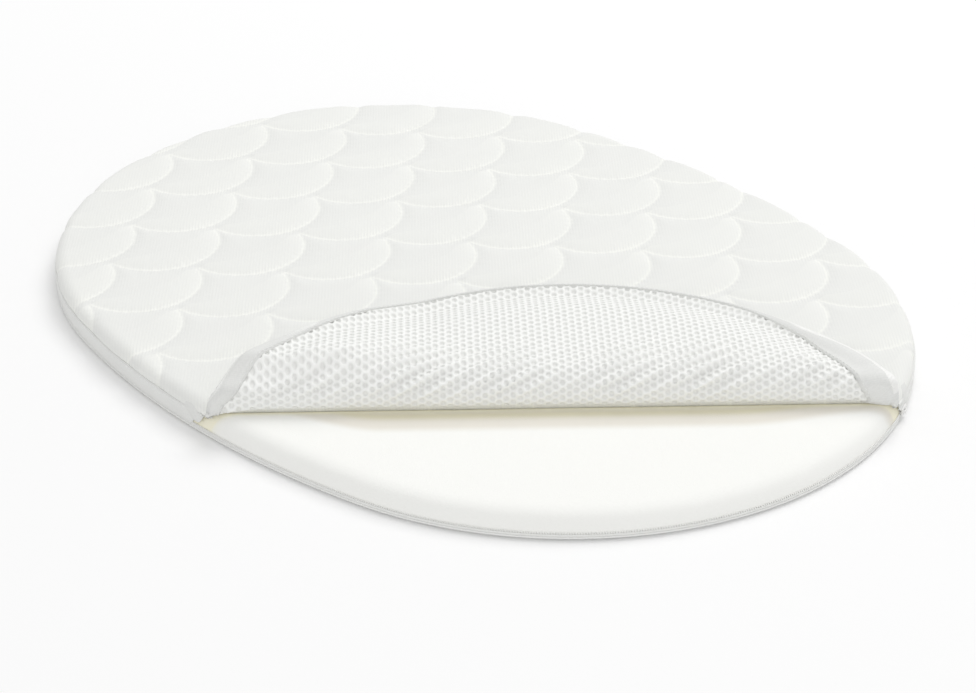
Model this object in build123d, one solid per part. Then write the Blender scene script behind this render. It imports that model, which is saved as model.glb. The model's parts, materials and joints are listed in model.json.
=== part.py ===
from build123d import *
import os
from math import acos, cos, degrees, hypot, radians, sin, tan

# Oval, seen from above: two end arcs joined by two flatter side arcs
length = 760.0
width = 576.0
end_sweep = 76.84  # degrees that an end arc turns on each side of the long axis

# Layers, from the floor up
base_thickness = 1.0
foam_thickness = 19.7
lining_gap = 0.3
lining_thickness = 3.0
quilt_thickness = 3.0

# Edges of the foam and of the quilted top
foam_inset = 5.0
foam_round = 8.0
foam_foot_bevel = 2.0
shoulder_round = 9.0
edge_steps = 4  # flats that make up a rounded edge
rim_depth = 10.5  # from the top of the quilt down to its sewn edge

# Side band and its seams
band_thickness = 1.2
band_lap = 1.0  # how far the band covers the edge of the quilt
base_rim_height = 3.4
base_bevel = 0.6

# Zip between the base and the side band
tape_thickness = 0.6
tape_inset = 0.4
tape_height = 2.0
coil_thickness = 1.4
coil_height = 1.2
coil_gap = 1.2
zip_tail = 60.0  # how far the zip runs on behind the fold, square to it
stop_length = 3.0

# Zip slider
slider_length = 9.0
slider_plate = 1.1
slider_gap = 0.4
slider_lip = 1.0
post_length = 2.6
post_gap = 0.3
bridge_length = 4.2
bridge_width = 2.4
bridge_height = 1.6
bridge_wall = 0.8
slider_rest = 14.0  # from the corner of the fold to the slider, along the zip

# Fold in the cover, which lays the front corner of the top back
fold_turn = -41.35  # direction of the opened corner, degrees from +X
flap_depth = 135.0
fold_height = 13.0
flap_rise = 4.4  # degrees that the turned flap climbs towards its free edge
fold_gap = 0.4
slide_gap = 0.5

# Quilting: rows of half-round scales with sewn channels
scale_chord = 101.6
scale_turn = -4.39  # direction that the scales point in, degrees from +X
scale_start_x = -8.2
scale_start_y = -13.3
channel_width = 6.0
channel_depth = 1.5

# Open net of the lining, shown where the flap is turned back
net_pitch = 13.0
net_bar = 2.8
net_margin = 2.0

# Oval arcs
half_length = length / 2
half_width = width / 2
arc_ratio = 1 / cos(radians(end_sweep)) - tan(radians(end_sweep))
end_radius = (half_width - half_length * arc_ratio) / (1 - arc_ratio)
end_centre = half_length - end_radius
side_centre = end_centre * tan(radians(end_sweep))
side_radius = half_width + side_centre

# Heights
foam_top = base_thickness + foam_thickness
lining_bottom = foam_top + lining_gap
quilt_bottom = lining_bottom + lining_thickness
quilt_top_height = quilt_bottom + quilt_thickness
rim_bottom = quilt_top_height - rim_depth
lower_coil_bottom = base_rim_height + tape_height
lower_coil_top = lower_coil_bottom + coil_height
upper_coil_bottom = lower_coil_top + coil_gap
upper_coil_top = upper_coil_bottom + coil_height
band_bottom = upper_coil_top + tape_height
band_top = rim_bottom + band_lap

# Fold, measured along the direction of the opened corner
front_reach = end_centre * cos(radians(fold_turn)) + end_radius
flap_fold = front_reach - flap_depth
cover_fold = flap_fold - fold_height
quilt_setback = quilt_thickness + fold_gap
lining_seat = lining_thickness + fold_gap
zip_end = cover_fold - zip_tail
flap_rim_inset = coil_thickness + slide_gap
band_travel = rim_bottom - upper_coil_bottom
far = length + width

fold_frame = Plane((0, 0, 0), x_dir=(cos(radians(fold_turn)), sin(radians(fold_turn)), 0), z_dir=(0, 0, 1))


def oval(inset=0.0):
    end = end_radius - inset
    side = side_radius - inset
    side_sweep = 180 - 2 * end_sweep
    arcs = [
        CenterArc((end_centre, 0), end, -end_sweep, 2 * end_sweep),
        CenterArc((0, -side_centre), side, end_sweep, side_sweep),
        CenterArc((-end_centre, 0), end, 180 - end_sweep, 2 * end_sweep),
        CenterArc((0, side_centre), side, 180 + end_sweep, side_sweep),
    ]
    return make_face(arcs)


def slab(inset, low, high):
    return Pos(0, 0, low) * extrude(oval(inset), high - low)


# Slab whose upper edge is rounded off in even steps
def soft_slab(inset, low, high, radius):
    sections = [Pos(0, 0, low) * oval(inset)]
    for step in range(edge_steps + 1):
        turn = radians(90 * step / edge_steps)
        sections.append(Pos(0, 0, high - radius + radius * sin(turn)) * oval(inset + radius - radius * cos(turn)))
    return loft(sections, ruled=True)


def wall(inset, thickness, low, high):
    return Pos(0, 0, low) * extrude(oval(inset) - oval(inset + thickness), high - low)


def ahead_of(offset, top=far):
    return fold_frame.location * Pos(offset + far / 2, 0, top - far / 2) * Box(far, far, far)


def left_of_fold():
    return fold_frame.location * Pos(0, -far / 2, 0) * Box(far, far, far)


def fold_rod(offset, radius):
    return fold_frame.location * Pos(offset, 0, quilt_bottom) * Rot(90, 0, 0) * Cylinder(radius, far)


def fold_axis(offset):
    start = fold_frame.from_local_coords(Vector(offset, 0, quilt_bottom))
    return Axis(start, fold_frame.y_dir)


def between(piece, start, end):
    return (piece & ahead_of(start)) - ahead_of(end)


# How far a point lies inside the oval
def depth_inside(x, y):
    if abs(y) < (abs(x) - end_centre) * tan(radians(end_sweep)):
        return end_radius - hypot(abs(x) - end_centre, y)
    return side_radius - hypot(x, abs(y) + side_centre)


# Pieces of the opened corner are made closed, in place, and then turned back
def turn_strip(piece):
    return piece.rotate(fold_axis(cover_fold), -90)


def turn_flap(piece):
    return turn_strip(piece.rotate(fold_axis(flap_fold), flap_rise - 90))


def turn_band(piece):
    return turn_flap(Pos(0, 0, band_travel) * piece)


# Foam core: a flat slab with a soft upper edge
def make_foam():
    foam = soft_slab(foam_inset, base_thickness, foam_top, foam_round)
    return chamfer(foam.faces().sort_by(Axis.Z)[0].edges(), foam_foot_bevel)


# Base sheet: the bottom cloth with its edge turned up to the zip
def make_base():
    base = slab(0, 0, base_rim_height) - slab(band_thickness, base_thickness, base_rim_height)
    return chamfer(base.faces().sort_by(Axis.Z)[0].edges(), base_bevel)


# One sewn channel along the half-round edge of a scale
def make_channel():
    radius = scale_chord / 2
    floor = quilt_top_height - channel_depth
    high = quilt_top_height + channel_depth
    outline = Polyline((radius, floor), (radius + channel_width, high), (radius - channel_width, high), close=True)
    return Rot(0, 0, -90) * revolve(Plane.XZ * make_face(outline), Axis.Z, 180)


# The channels that cross the oval between two offsets along the opened corner
def make_channels(start, end):
    channel = make_channel()
    row_step = scale_chord / 2
    margin = row_step + channel_width
    count = int(far / scale_chord)
    channels = []
    for row in range(-2 * count, 2 * count + 1):
        for column in range(-count, count + 1):
            across = (column + 0.5 + (row % 2) / 2) * scale_chord
            place = Pos(scale_start_x, scale_start_y) * Rot(0, 0, scale_turn) * Pos(row * row_step, across)
            spot = place.position
            offset = fold_frame.to_local_coords(spot).X
            if depth_inside(spot.X, spot.Y) > -margin and start - margin < offset < end + margin:
                channels.append(place * channel)
    return channels


# Quilted top: a shallow tray with a rounded shoulder and a sewn edge
def make_quilt(rim_inset):
    outside = soft_slab(rim_inset, rim_bottom, quilt_top_height, shoulder_round)
    inside_round = shoulder_round - quilt_thickness
    inside = soft_slab(rim_inset + quilt_thickness, rim_bottom, quilt_bottom, inside_round)
    return outside - inside


# Lining of the flap: a sheet of six-sided gaps, kept whole along its edges
def make_flap_lining(inset):
    gap_radius = (net_pitch - net_bar) / 3**0.5
    row_step = net_pitch * 3**0.5 / 2
    sheet = (oval(inset) & ahead_of(flap_fold)).face()
    gap = RegularPolygon(gap_radius, 6).face().outer_wire()
    start = flap_fold + lining_seat + net_margin + gap_radius
    rows = int(flap_depth / row_step)
    columns = int(far / net_pitch)
    gaps = []
    for row in range(rows):
        for column in range(-columns, columns + 1):
            spot = Vector(start + row * row_step, (column + (row % 2) / 2) * net_pitch, 0)
            centre = fold_frame.from_local_coords(spot)
            if depth_inside(centre.X, centre.Y) > inset + net_margin + gap_radius:
                gaps.append(fold_frame.location * Pos(spot) * gap)
    net = extrude(Face(sheet.outer_wire(), gaps), lining_thickness)
    return Pos(0, 0, lining_bottom) * net - fold_rod(flap_fold, lining_seat)


# Lining along the fold: flat, with a round nose on each fold line
def make_fold_lining(inset):
    section = Pos(cover_fold + fold_height / 2, 0) * Rectangle(fold_height, 2 * lining_thickness)
    for offset in (cover_fold, flap_fold):
        section += Pos(offset, 0) * Circle(lining_thickness)
    strip = extrude(Rot(90, 0, 0) * section, far / 2, both=True)
    strip = fold_frame.location * Pos(0, 0, quilt_bottom) * strip
    return strip & slab(inset, lining_bottom, quilt_bottom)


# Zip slider: two plates with lips, joined by the post that parts the coils
def slider_section(start, end, low, high):
    return Pos((start + end) / 2, (low + high) / 2) * Rectangle(end - start, high - low)


def sweep_section(section, arc_length):
    arc = degrees(arc_length / end_radius)
    return Rot(0, 0, -arc / 2) * revolve(Plane.XZ * section, Axis.Z, arc)


def make_slider():
    front = end_radius + slider_gap
    back = end_radius - coil_thickness - slider_gap
    lip_front = end_radius - tape_inset + post_gap
    lip_back = end_radius - tape_inset - tape_thickness - post_gap
    low = lower_coil_bottom - slider_gap - slider_lip
    high = upper_coil_top + slider_gap + slider_lip
    middle = (low + high) / 2
    shell = slider_section(front, front + slider_plate, low, high)
    shell += slider_section(back - slider_plate, back, low, high)
    for level in (low, high - slider_lip):
        shell += slider_section(lip_front, front, level, level + slider_lip)
        shell += slider_section(back, lip_back, level, level + slider_lip)
    slider = sweep_section(shell, slider_length)
    post = slider_section(back, front, lower_coil_top + post_gap, upper_coil_bottom - post_gap)
    lead = degrees((slider_length - post_length) / 2 / end_radius)
    slider += Rot(0, 0, -lead) * sweep_section(post, post_length)
    face = front + slider_plate
    low_bridge = middle - bridge_width / 2
    high_bridge = middle + bridge_width / 2
    bridge = slider_section(face, face + bridge_height, low_bridge, high_bridge)
    eye = slider_section(face, face + bridge_height - bridge_wall, low_bridge, high_bridge)
    slider += sweep_section(bridge, bridge_length) - sweep_section(eye, bridge_length - 2 * bridge_wall)
    corner = fold_turn + degrees(acos((cover_fold - end_centre * cos(radians(fold_turn))) / end_radius))
    rest = corner + degrees(slider_rest / end_radius)
    return Pos(end_centre, 0) * Rot(0, 0, rest) * slider


fixed_edge = cover_fold - quilt_setback
flap_edge = flap_fold + quilt_setback


pieces = {}
pieces["foam_core"] = make_foam()
pieces["base_sheet"] = make_base()

# Zip halves that stay on the mattress
lower_tape = wall(tape_inset, tape_thickness, base_rim_height, lower_coil_bottom)
lower_coil = wall(0, coil_thickness, lower_coil_bottom, lower_coil_top)
upper_tape = wall(tape_inset, tape_thickness, upper_coil_top, band_bottom)
upper_coil = wall(0, coil_thickness, upper_coil_bottom, upper_coil_top)
stops = between(wall(0, coil_thickness, lower_coil_bottom, upper_coil_top), zip_end, zip_end + stop_length)
fixed_tape = between(upper_tape, zip_end, fixed_edge)
fixed_coil = between(upper_coil, zip_end + stop_length, fixed_edge)
pieces["lower_zip_tape"] = lower_tape & ahead_of(zip_end)
pieces["lower_zip_coil"] = lower_coil & ahead_of(zip_end + stop_length)
pieces["left_zip_tape"] = fixed_tape & left_of_fold()
pieces["right_zip_tape"] = fixed_tape - left_of_fold()
pieces["left_zip_coil"] = fixed_coil & left_of_fold()
pieces["right_zip_coil"] = fixed_coil - left_of_fold()
pieces["left_zip_stop"] = stops & left_of_fold()
pieces["right_zip_stop"] = stops - left_of_fold()

# Side band, down to the base except where the zip is
side_band = wall(0, band_thickness, base_rim_height, band_top)
side_band = side_band - ahead_of(zip_end, band_bottom) - ahead_of(fixed_edge)
pieces["side_band"] = side_band

# Fixed part of the top
fixed_lining = slab(band_thickness + shoulder_round, lining_bottom, quilt_bottom)
pieces["mesh_lining"] = fixed_lining - ahead_of(cover_fold) - fold_rod(cover_fold, lining_seat)
pieces["quilt_top"] = make_quilt(band_thickness) - ahead_of(fixed_edge) - make_channels(-far, fixed_edge)

# Strip that stands up in the fold, and the flap behind it
lining_inset = flap_rim_inset + shoulder_round
quilt = make_quilt(flap_rim_inset)
strip = between(quilt, cover_fold, flap_fold) & slab(0, quilt_bottom, quilt_top_height)
pieces["mesh_fold"] = turn_strip(make_fold_lining(lining_inset))
pieces["quilt_fold"] = turn_strip(strip - make_channels(cover_fold, flap_fold))
pieces["mesh_flap"] = turn_flap(make_flap_lining(lining_inset))
pieces["quilt_flap"] = turn_flap((quilt & ahead_of(flap_edge)) - make_channels(flap_edge, far))

# Side band of the flap with its half of the zip
flap_band = wall(0, band_thickness, band_bottom, band_top) & ahead_of(flap_edge)
pieces["flap_side_band"] = turn_band(flap_band)
pieces["flap_zip_tape"] = turn_band(upper_tape & ahead_of(flap_edge))
pieces["flap_zip_coil"] = turn_band(upper_coil & ahead_of(flap_edge))

pieces["zip_slider"] = make_slider()

os.makedirs("parts", exist_ok=True)
for name, piece in pieces.items():
    export_step(piece, f"parts/{name}.step")
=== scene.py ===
import json
import math

import bmesh
import bpy
import numpy as np
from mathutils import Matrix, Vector


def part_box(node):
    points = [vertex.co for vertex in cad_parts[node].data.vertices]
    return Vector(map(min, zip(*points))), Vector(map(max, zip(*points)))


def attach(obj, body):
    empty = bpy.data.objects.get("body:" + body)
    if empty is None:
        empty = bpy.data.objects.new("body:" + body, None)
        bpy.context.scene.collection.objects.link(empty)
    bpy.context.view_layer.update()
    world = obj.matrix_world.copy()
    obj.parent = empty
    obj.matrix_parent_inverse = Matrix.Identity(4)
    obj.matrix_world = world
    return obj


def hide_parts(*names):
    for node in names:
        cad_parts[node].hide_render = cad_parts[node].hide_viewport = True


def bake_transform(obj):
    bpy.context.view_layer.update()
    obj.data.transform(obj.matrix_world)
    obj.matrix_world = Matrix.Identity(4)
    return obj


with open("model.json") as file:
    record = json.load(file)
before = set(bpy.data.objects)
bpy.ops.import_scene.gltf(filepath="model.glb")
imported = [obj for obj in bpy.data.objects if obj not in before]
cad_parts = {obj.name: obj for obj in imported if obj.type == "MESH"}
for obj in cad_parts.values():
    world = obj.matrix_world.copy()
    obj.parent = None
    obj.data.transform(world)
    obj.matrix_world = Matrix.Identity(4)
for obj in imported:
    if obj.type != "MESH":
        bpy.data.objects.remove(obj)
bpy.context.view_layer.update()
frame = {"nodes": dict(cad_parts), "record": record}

mm = 0.001
scene = bpy.context.scene
scene.view_settings.view_transform = "Standard"

# The oval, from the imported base: two end arcs joined by two flatter side arcs
endSweep = math.radians(76.84)
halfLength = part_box("base_sheet")[1].x / mm
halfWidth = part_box("base_sheet")[1].y / mm
arcRatio = 1 / math.cos(endSweep) - math.tan(endSweep)
endRadius = (halfWidth - halfLength * arcRatio) / (1 - arcRatio)
endCentre = halfLength - endRadius
sideCentre = endCentre * math.tan(endSweep)
sideRadius = halfWidth + sideCentre
endRun = endRadius * endSweep
quarterRun = endRun + sideRadius * (math.pi / 2 - endSweep)
wholeRun = 4 * quarterRun

# The fold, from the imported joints
joints = {joint["name"]: joint for joint in frame["record"]["behaviour"]["joints"]}
foldAlong = np.array(joints["cover_open"]["axis"][:2])
foldAhead = np.array([foldAlong[1], -foldAlong[0]])
coverFold = np.array(joints["cover_open"]["pos_m"][:2]) @ foldAhead / mm
neutral = joints["cover_open"]["pos_m"][2] / mm
foldHeight = joints["flap_turn"]["pos_m"][2] / mm - neutral
flapFold = coverFold + foldHeight
midFold = coverFold + foldHeight / 2
flapTurn = math.radians(joints["flap_turn"]["range_deg"][1])
bandTravel = joints["band_turn"]["range_m"][1] / mm


def heightsOf(node):
    return [corner.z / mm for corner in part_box(node)]


foamTop = heightsOf("foam_core")[1]
liningBottom = heightsOf("mesh_lining")[0]
rimBottom = heightsOf("quilt_top")[0]
bandTop = heightsOf("side_band")[1]
baseRim = heightsOf("base_sheet")[1]
lowerTape = heightsOf("lower_zip_tape")
lowerCoil = heightsOf("lower_zip_coil")
upperTape = heightsOf("right_zip_tape")
upperCoil = heightsOf("right_zip_coil")


def smooth(value):
    value = np.clip(value, 0, 1)
    return value * value * (3 - 2 * value)


def ahead(points):
    return points[:, :2] @ foldAhead


def along(points):
    return points[:, :2] @ foldAlong


def fromFold(u, v, z):
    return np.c_[u[:, None] * foldAhead + v[:, None] * foldAlong, z]


def polarRadius(angle, inset):
    c, s = np.abs(np.cos(angle)), np.abs(np.sin(angle))
    onEnd = endCentre * c + np.sqrt((endRadius - inset) ** 2 - (endCentre * s) ** 2)
    onSide = np.sqrt((sideRadius - inset) ** 2 - (sideCentre * c) ** 2) - sideCentre * s
    return np.where(onEnd * s <= (onEnd * c - endCentre) * math.tan(endSweep), onEnd, onSide)


# Outward direction of the nearest edge, and how far inside it each point lies
def edgeOf(points):
    x, y = np.abs(points[:, 0]), np.abs(points[:, 1])
    onEnd = y <= (x - endCentre) * math.tan(endSweep)
    across = np.where(onEnd, x - endCentre, x)
    up = np.where(onEnd, y, y + sideCentre)
    size = np.hypot(across, up)
    sign = np.where(points[:, :2] < 0, -1.0, 1.0)
    return sign * np.c_[across, up] / size[:, None], np.where(onEnd, endRadius, sideRadius) - size


# Points on the edge, by the distance walked along it from the +X tip, and their outward directions
def edgeAt(walked):
    walked = np.asarray(walked, float) % wholeRun
    quarter = np.minimum((walked / quarterRun).astype(int), 3)
    run = walked - quarter * quarterRun
    run = np.where(quarter % 2 == 1, quarterRun - run, run)
    onEnd = run <= endRun
    turn = np.where(onEnd, run / endRadius, endSweep + (run - endRun) / sideRadius)
    normal = np.c_[np.cos(turn), np.sin(turn)]
    point = np.where(onEnd, endRadius, sideRadius)[:, None] * normal
    point += np.where(onEnd[:, None], [[endCentre, 0.0]], [[0.0, -sideCentre]])
    sign = np.array([[1, 1], [-1, 1], [-1, -1], [1, -1]])[quarter]
    return point * sign, normal * sign


frontWalk = endRadius * math.atan2(foldAhead[1], foldAhead[0])


# Walked distances at which the edge crosses a line across the fold direction, left and right
def crossings(offset):
    steps = np.linspace(0, 2 * quarterRun, 8001)
    ends = []
    for side in (-1, 1):
        edge = edgeAt(frontWalk + side * steps)[0]
        ends.append(frontWalk + side * steps[np.argmax(ahead(edge) < offset)])
    return ends


# Turns points of the closed cover up at the first fold and back at the second
def rolled(points, shares):
    u, v, h = ahead(points), along(points), points[:, 2] - neutral
    upper = u >= midFold
    s = np.where(upper, u - flapFold, u - coverFold)
    turn = np.where(upper, shares * flapTurn, shares * math.pi / 2)
    a = np.where(upper, -h, s)
    b = np.where(upper, s, h)
    newU = coverFold + a * np.cos(turn) - b * np.sin(turn)
    newZ = neutral + np.where(upper, foldHeight, 0) + a * np.sin(turn) + b * np.cos(turn)
    return newU, v, newZ


# The share of each turn that a point takes, so that it lies flat when the cover is closed
def turnShares(points, start, end):
    u, h = ahead(points), points[:, 2] - neutral
    upper = u >= midFold
    s = np.where(upper, u - flapFold, u - coverFold)
    full = np.where(upper, flapTurn, math.pi / 2)
    low, high = np.zeros(len(u)), np.ones(len(u))
    for _ in range(40):
        share = (low + high) / 2
        c, d = np.cos(share * full), np.sin(share * full)
        reach = (s * (c + d) + h * (c - d)) / math.sqrt(2)
        more = smooth((reach - start) / (end - start)) > share
        low, high = np.where(more, share, low), np.where(more, high, share)
    return (low + high) / 2


# The left of the turned flap stands a little off the flat
flapStand = {"lift": 5.0, "from": -30.0, "reach": 95.0, "ease": 22.0}


def standOff(u, v, lift):
    toLeft = smooth((flapStand["from"] - v) / flapStand["reach"])
    return lift * toLeft * smooth((coverFold - u) / flapStand["ease"])


# Bakes the transform into one half of a bent piece; the span across its fold is worked out but not used
def blendAcross(piece, upper, span):
    side, height = (-1, neutral + foldHeight) if upper else (1, neutral)
    origin = np.r_[foldAhead * coverFold, height]
    lean = np.r_[foldAhead * side, 1.0] / math.sqrt(2)
    start, end = (tuple((origin + lean * reach) * mm) for reach in span)
    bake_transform(piece)


# Meshes
finishes = {}


def meshPiece(name, points, faces, finish, values=None):
    mesh = bpy.data.meshes.new(name)
    mesh.from_pydata((np.asarray(points) * mm).tolist(), [], faces)
    for key, value in (values or {}).items():
        value = np.asarray(value, np.float32)
        kind, field = ("FLOAT_VECTOR", "vector") if value.ndim == 2 else ("FLOAT", "value")
        mesh.attributes.new(key, kind, "POINT").data.foreach_set(field, value.ravel())
    mesh.validate()
    mesh.update()
    mesh.polygons.foreach_set("use_smooth", [True] * len(mesh.polygons))
    piece = bpy.data.objects.new(name, mesh)
    scene.collection.objects.link(piece)
    mesh.materials.append(finishes[finish])
    return piece


def outwardFaces(piece):
    build = bmesh.new()
    build.from_mesh(piece.data)
    bmesh.ops.recalc_face_normals(build, faces=build.faces[:])
    build.to_mesh(piece.data)
    build.free()
    return piece


# A square grid drawn out over the oval: its points, its faces and the indices round its edge
def ovalGrid(columns, rows, inset):
    a, b = np.meshgrid(np.linspace(-1, 1, columns), np.linspace(-1, 1, rows))
    a, b = a.ravel() + 1e-9, b.ravel() + 2e-9  # a hair off the middle, where the turn has no value
    wide = np.abs(a) > np.abs(b)
    size = np.where(wide, a, b)
    turn = np.where(wide, math.pi / 4 * b / a, math.pi / 2 - math.pi / 4 * a / b)
    angle = np.arctan2(size * np.sin(turn), size * np.cos(turn))
    radius = np.abs(size) * polarRadius(angle, inset)
    index = np.arange(columns * rows).reshape(rows, columns)
    faces = np.stack([index[:-1, :-1], index[:-1, 1:], index[1:, 1:], index[1:, :-1]], axis=-1)
    rim = np.r_[index[0, :-1], index[:-1, -1], index[-1, :0:-1], index[:0:-1, 0]]
    points = np.c_[radius * np.cos(angle), radius * np.sin(angle)]
    return points, faces.reshape(-1, 4).tolist(), rim.tolist()


# Rings of points round the edge of such a grid, closed underneath by the last one
def skirtFaces(rim, first, rings):
    faces, count, last = [], len(rim), rim
    for ring in range(rings):
        here = list(range(first + ring * count, first + (ring + 1) * count))
        for i in range(count):
            n = (i + 1) % count
            faces.append((last[n], last[i], here[i], here[n]))
        last = here
    return faces + [tuple(last[::-1])]


# A closed section, as insets and heights, carried along the edge
def sweptFaces(stations, ring, closed):
    faces = []
    for i in range(stations if closed else stations - 1):
        for j in range(ring):
            k, n = (i + 1) % stations, (j + 1) % ring
            faces.append((i * ring + j, k * ring + j, k * ring + n, i * ring + n))
    if not closed:
        faces += [tuple(range(ring)), tuple(range((stations - 1) * ring, stations * ring))]
    return faces


def sweptPoints(walked, insets, heights):
    point, normal = edgeAt(walked)
    insets, heights = np.atleast_2d(insets), np.atleast_2d(heights)
    insets = np.broadcast_to(insets, (len(walked), insets.shape[1]))
    heights = np.broadcast_to(heights, insets.shape)
    xy = point[:, None, :] - insets[:, :, None] * normal[:, None, :]
    return np.concatenate([xy, heights[:, :, None]], axis=2).reshape(-1, 3)


def clothPlace(walked, heights):
    heights = np.broadcast_to(np.atleast_2d(heights), (len(walked), np.atleast_2d(heights).shape[1]))
    place = np.stack([np.broadcast_to(walked[:, None], heights.shape), heights, heights * 0], axis=2)
    return place.reshape(-1, 3)


# Finishes
class Wire:
    def __init__(self, tree, socket):
        self.tree = tree
        self.socket = socket

    def node(self, kind, settings=None, sockets=None, out=0):
        added = self.tree.nodes.new(kind)
        for key, value in (settings or {}).items():
            setattr(added, key, value)
        for key, value in (sockets or {}).items():
            if isinstance(value, Wire):
                self.tree.links.new(value.socket, added.inputs[key])
            else:
                added.inputs[key].default_value = value
        return Wire(self.tree, added.outputs[out])

    def maths(self, operation, *others):
        return self.node("ShaderNodeMath", {"operation": operation}, dict(enumerate((self, *others))))

    def mathsAfter(self, operation, other):
        return self.node("ShaderNodeMath", {"operation": operation}, {0: other, 1: self})

    def __add__(self, other):
        return self.maths("ADD", other)

    def __radd__(self, other):
        return self.mathsAfter("ADD", other)

    def __sub__(self, other):
        return self.maths("SUBTRACT", other)

    def __rsub__(self, other):
        return self.mathsAfter("SUBTRACT", other)

    def __mul__(self, other):
        return self.maths("MULTIPLY", other)

    def __rmul__(self, other):
        return self.mathsAfter("MULTIPLY", other)

    def __truediv__(self, other):
        return self.maths("DIVIDE", other)

    def __rtruediv__(self, other):
        return self.mathsAfter("DIVIDE", other)


def newFinish(name, attribute, constants):
    material = bpy.data.materials.new(name)
    material.use_nodes = True
    tree = material.node_tree
    shader = tree.nodes["Principled BSDF"]
    for key, value in constants.items():
        shader.inputs[key].default_value = value
    finishes[name] = material
    start = Wire(tree, shader.outputs[0])
    if attribute == "object":
        return shader, start.node("ShaderNodeTexCoord", out=3)
    return shader, start.node("ShaderNodeAttribute", {"attribute_name": attribute}, out=1)


def feed(wire, shader, socket):
    wire.tree.links.new(wire.socket, shader.inputs[socket])


def blendColour(wire, factor, first, second):
    return wire.node("ShaderNodeMix", {"data_type": "RGBA"}, {0: factor, 6: first, 7: second}, out=2)


def bumped(wire, height, strength, distance):
    return wire.node("ShaderNodeBump", None, {"Strength": strength, "Distance": distance, "Height": height})


def noise(place, scale, detail):
    return place.node("ShaderNodeTexNoise", None, {"Vector": place, "Scale": scale, "Detail": detail})


# Runs smoothly from one value to another as the wire goes from low to high
def eased(wire, low, high, first, last):
    settings = {"interpolation_type": "SMOOTHSTEP"}
    return wire.node("ShaderNodeMapRange", settings, {0: wire, 1: low, 2: high, 3: first, 4: last})


def parts(wire):
    return [wire.node("ShaderNodeSeparateXYZ", None, {0: wire}, out=axis) for axis in range(3)]


def measured(x, y, direction):
    return x * float(direction[0]) + y * float(direction[1])


# Rows of half-round scales, as sewn over the top
scales = {
    "chord": 101.6,
    "turn": math.radians(-4.39),
    "startX": -8.2,
    "startY": -13.3,
    "cusp": 9.0,  # how far short of its chord each line stops
    "streakSide": 6.0,  # the pale streaks lie this far to one side of a scale's tip
    "streakTight": -0.004,
}


# Distance from the nearest sewn line and the distance walked along it
def scaleLines(points):
    c, s = math.cos(scales["turn"]), math.sin(scales["turn"])
    x, y = points[:, 0] - scales["startX"], points[:, 1] - scales["startY"]
    tip, side = x * c + y * s, y * c - x * s
    chord, radius = scales["chord"], scales["chord"] / 2
    row = np.floor(tip / radius)
    best, walked = np.full(len(x), 1e9), np.zeros(len(x))
    for back in (0, 1):
        local = (side - (0.5 + ((row - back) % 2) / 2) * chord + radius) % chord - radius
        far = tip - (row - back) * radius
        gap = np.abs(np.hypot(far, local) - radius)
        short = np.hypot(scales["cusp"] - far, radius - np.abs(local))
        gap = np.where(far < scales["cusp"], short, gap)
        nearer = gap < best
        best = np.where(nearer, gap, best)
        walked = np.where(nearer, radius * np.arctan2(local, far), walked)
    return best, walked


# The same lines for the knit: the distance, the distance with its side, and how near the tip is
def scaleShade(x, y):
    c, s = math.cos(scales["turn"]), math.sin(scales["turn"])
    chord, radius = scales["chord"], scales["chord"] / 2
    tip = (x - scales["startX"]) * c + (y - scales["startY"]) * s
    across = (y - scales["startY"]) * c - (x - scales["startX"]) * s
    row = (tip / radius).maths("FLOOR")
    odd = row.maths("FLOORED_MODULO", 2.0)
    sides, offsets = [], []
    for back, shift in ((0, odd * 0.5), (1, 0.5 - odd * 0.5)):
        local = (across - (shift + 0.5) * chord).maths("WRAP", radius, -radius)
        far = tip - (row - back) * radius
        arc = (far * far + local * local).maths("SQRT") - radius
        rest = scales["cusp"] - far
        side = radius - local.maths("ABSOLUTE")
        cusp = rest.maths("GREATER_THAN", 0.0)
        sides.append(arc * (1.0 - cusp) + (rest * rest + side * side).maths("SQRT") * cusp)
        offsets.append(local)
    gaps = [part.maths("ABSOLUTE") for part in sides]
    nearer = gaps[0].maths("LESS_THAN", gaps[1])
    signed = sides[0] * nearer + sides[1] * (1.0 - nearer)
    offset = offsets[0] * nearer + offsets[1] * (1.0 - nearer) + scales["streakSide"]
    tipped = (offset * offset * scales["streakTight"]).maths("EXPONENT")
    return gaps[0].maths("MINIMUM", gaps[1]), signed, tipped


# Knit of the quilt: fine ribs, paler on the sewn lines, with painted light just within a scale's edge and
# painted shade just beyond it
knit = {
    "shade": (0.832, 0.838, 0.818, 1),
    "light": (0.94, 0.945, 0.905, 1),
    "middle": 0.27,
    "thread": 0.5,
    "threadTight": -0.45,
    "streaks": 0.6,
    # strength of the painted light within a scale's edge and of the painted shade beyond it
    "within": 0.2,
    "beyond": 0.18,
    "paintedSideFade": -0.06,
    "clouds": 0.3,
    "ribs": 0.14,
    "ribPitch": 2.5,
    "relief": 0.0006,
}


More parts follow.
